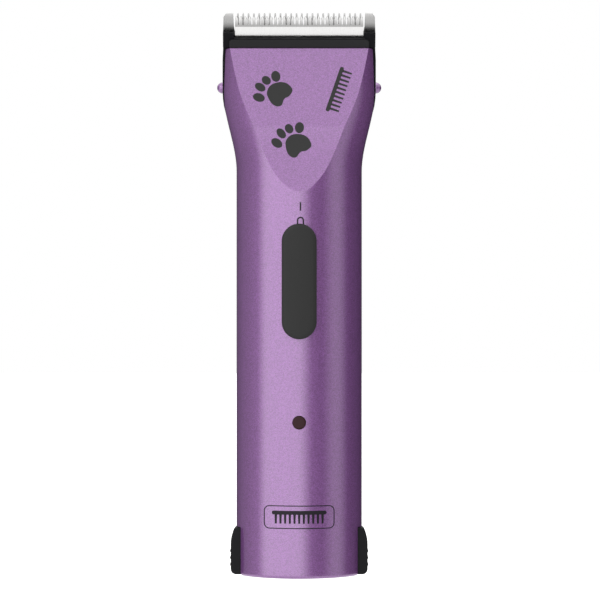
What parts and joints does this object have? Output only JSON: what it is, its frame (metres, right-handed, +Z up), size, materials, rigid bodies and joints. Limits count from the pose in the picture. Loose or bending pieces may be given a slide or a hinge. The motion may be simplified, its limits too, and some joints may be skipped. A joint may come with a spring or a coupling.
{
  "type": "electric pet clipper",
  "caption": "Cordless electric pet clipper: slim handle, flared head with a detachable adjustable blade set, switch slider and a battery pack that slides out of the base.",
  "frame": {"origin": "centre of the flat base, on the surface that the clipper stands on", "axes": "+Z up along the handle to the blade, -Y out of the front with the switch, +X to the right of someone who faces the front"},
  "size_m": [0.0506, 0.0376, 0.1725],
  "materials": {
    "purple_paint": "fine pearl metallic lacquer",
    "black_plastic": "moulded, fine texture",
    "grey_plastic": "moulded",
    "white_plastic": "low friction, satin",
    "slider_grey": "soft touch",
    "button_black": "soft grip",
    "blade_steel": "ground and fine brushed",
    "bright_steel": "polished",
    "screw_steel": "plated",
    "bronze": "oiled sintered bronze",
    "brass_contact": "plated contact",
    "copper": "wound wire, varnished",
    "magnet": "sintered",
    "board_green": "solder mask",
    "wire_cover": "smooth insulation",
    "lens_red": "dark tinted, glossy",
    "cell_wrap": "shrink film"
  },
  "bodies": {
    "housing": {"front_shell": "purple_paint", "rear_shell": "purple_paint", "shell_screws": "screw_steel", "chassis": "grey_plastic", "motor_can": "bright_steel", "motor_magnets": "magnet", "motor_bearing": "bronze", "motor_end_cap": "black_plastic", "motor_terminals": "brass_contact", "motor_screws": "screw_steel", "motor_leads": "wire_cover", "circuit_board": "board_green", "board_parts": "black_plastic", "switch_body": "grey_plastic", "charge_light": "lens_red", "light_lens": "lens_red", "contact_springs": "brass_contact", "pivot_pin": "bright_steel", "lever_clip": "screw_steel", "hook_pin": "bright_steel"},
    "switch": {"switch_slider": "slider_grey", "switch_link": "slider_grey"},
    "rotor": {"motor_shaft": "bright_steel", "motor_core": "copper", "eccentric_hub": "black_plastic", "eccentric_bearing": "bright_steel"},
    "lever": {"drive_lever": "white_plastic", "lever_bushing": "bronze"},
    "blade_set": {"blade_carrier": "black_plastic", "tension_spring": "bright_steel", "spring_screws": "screw_steel", "click_spring": "bright_steel"},
    "cutter": {"cutter_blade": "blade_steel", "cutter_driver": "black_plastic", "driver_rivets": "screw_steel"},
    "comb": {"comb_blade": "blade_steel", "comb_mount": "black_plastic", "comb_screws": "screw_steel"},
    "adjuster": {"length_adjuster": "purple_paint", "adjuster_pins": "bright_steel"},
    "battery": {"battery_case": "black_plastic", "battery_cells": "cell_wrap", "battery_cap": "black_plastic", "pack_contacts": "brass_contact", "charging_contacts": "brass_contact", "release_springs": "bright_steel"},
    "button_left": {"release_button_left": "button_black"},
    "button_right": {"release_button_right": "button_black"}
  },
  "joints": [
    {"name": "switch_slide", "type": "slide", "parent": "housing", "child": "switch", "axis": [0, 0, 1], "range_m": [0, 0.0037]},
    {"name": "rotor_spin", "type": "hinge", "parent": "housing", "child": "rotor", "pos_m": [0, 0.002, 0.12], "axis": [0, 0, 1], "continuous": true},
    {"name": "lever_swing", "type": "hinge", "parent": "housing", "child": "lever", "pos_m": [0, 0, 0.1385], "axis": [0, 1, 0], "range_deg": [-4.17, 4.17]},
    {"name": "blade_tilt", "type": "hinge", "parent": "housing", "child": "blade_set", "pos_m": [0, 0.0118, 0.1352], "axis": [-1, 0, 0], "range_deg": [0, 25]},
    {"name": "cutter_slide", "type": "slide", "parent": "blade_set", "child": "cutter", "axis": [1, 0, 0], "range_m": [-0.0012, 0.0012]},
    {"name": "length_slide", "type": "slide", "parent": "blade_set", "child": "adjuster", "axis": [1, 0, 0], "range_m": [-0.0016, 0.0016]},
    {"name": "comb_shift", "type": "slide", "parent": "blade_set", "child": "comb", "axis": [0, -0.342, 0.9397], "range_m": [-0.0012, 0.0012]},
    {"name": "battery_slide", "type": "slide", "parent": "housing", "child": "battery", "axis": [0, 0, -1], "range_m": [0, 0.075]},
    {"name": "release_left", "type": "slide", "parent": "battery", "child": "button_left", "axis": [1, 0, 0], "range_m": [0, 0.0012], "stiffness_N_per_m": 600, "springref_m": -0.001},
    {"name": "release_right", "type": "slide", "parent": "battery", "child": "button_right", "axis": [-1, 0, 0], "range_m": [0, 0.0012], "stiffness_N_per_m": 600, "springref_m": -0.001}
  ],
  "couplings": [
    {"joint": "lever_swing", "follows": "cutter_slide", "rad_per_m": 60.606},
    {"joint": "comb_shift", "follows": "length_slide", "ratio": 0.75}
  ]
}
